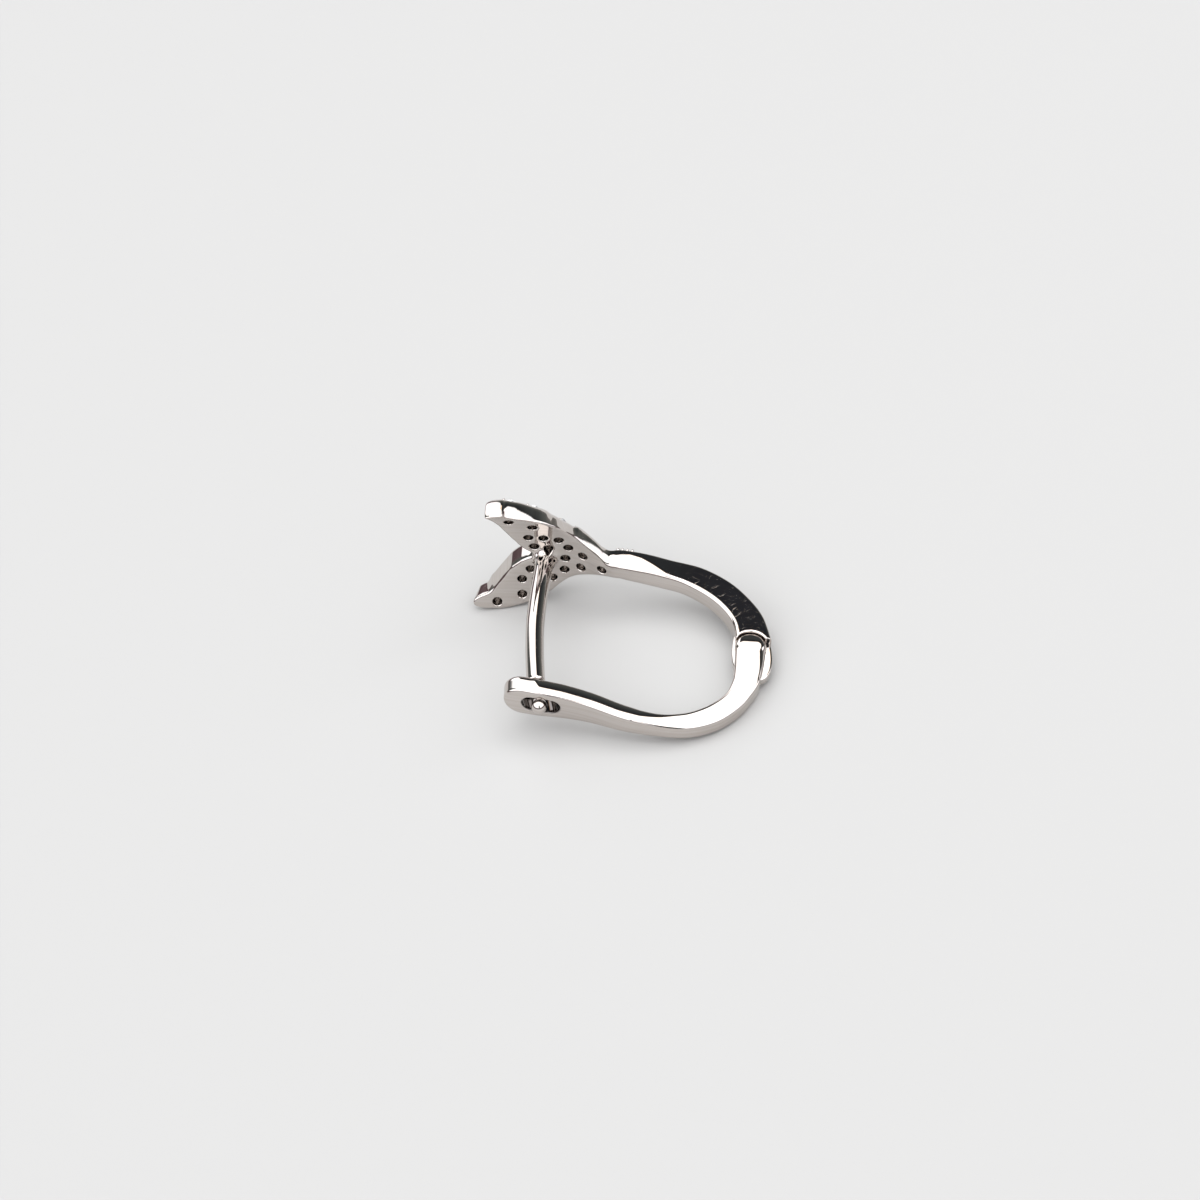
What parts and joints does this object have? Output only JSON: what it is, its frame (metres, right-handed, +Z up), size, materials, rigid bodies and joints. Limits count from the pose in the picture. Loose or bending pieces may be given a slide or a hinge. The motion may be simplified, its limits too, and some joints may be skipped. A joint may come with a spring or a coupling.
{
  "type": "cartilage earring",
  "caption": "Hinged hoop earring: a forked front plate set with small round stones, a fixed curved ear post, and a lever that swings out on a pin and snaps its slotted end over the post's tip.",
  "frame": {"origin": "middle of the bounding box's floor, with the earring lying by itself on its side", "axes": "+Z up; +X from the forked plate's open end to the hinge; +Y from the lever towards the stone-set face"},
  "size_m": [0.0156, 0.0123, 0.0075],
  "materials": {
    "metal": "mirror-polished white metal",
    "lever_metal": "mirror-polished white metal",
    "pin_metal": "polished white metal",
    "stone": "clear cut stone"
  },
  "bodies": {
    "front": {"front_frame": "metal", "stone_middle_1": "stone", "stone_middle_2": "stone", "stone_middle_3": "stone", "stone_middle_4": "stone", "stone_middle_5": "stone", "stone_upper_1": "stone", "stone_lower_1": "stone", "stone_upper_2": "stone", "stone_lower_2": "stone", "stone_upper_3": "stone", "stone_lower_3": "stone", "stone_upper_4": "stone", "stone_lower_4": "stone", "stone_upper_5": "stone", "stone_lower_5": "stone", "stone_upper_6": "stone", "stone_lower_6": "stone", "stone_upper_7": "stone", "stone_lower_7": "stone", "stone_upper_8": "stone", "stone_lower_8": "stone", "stone_upper_9": "stone", "stone_lower_9": "stone"},
    "lever": {"lever": "lever_metal", "hinge_pin": "pin_metal"}
  },
  "joints": [
    {"name": "lever_hinge", "type": "hinge", "parent": "front", "child": "lever", "pos_m": [0.00669, -0.00068, 0.00085], "axis": [0.164, -0.1132, 0.9799], "range_deg": [0, 45]}
  ]
}
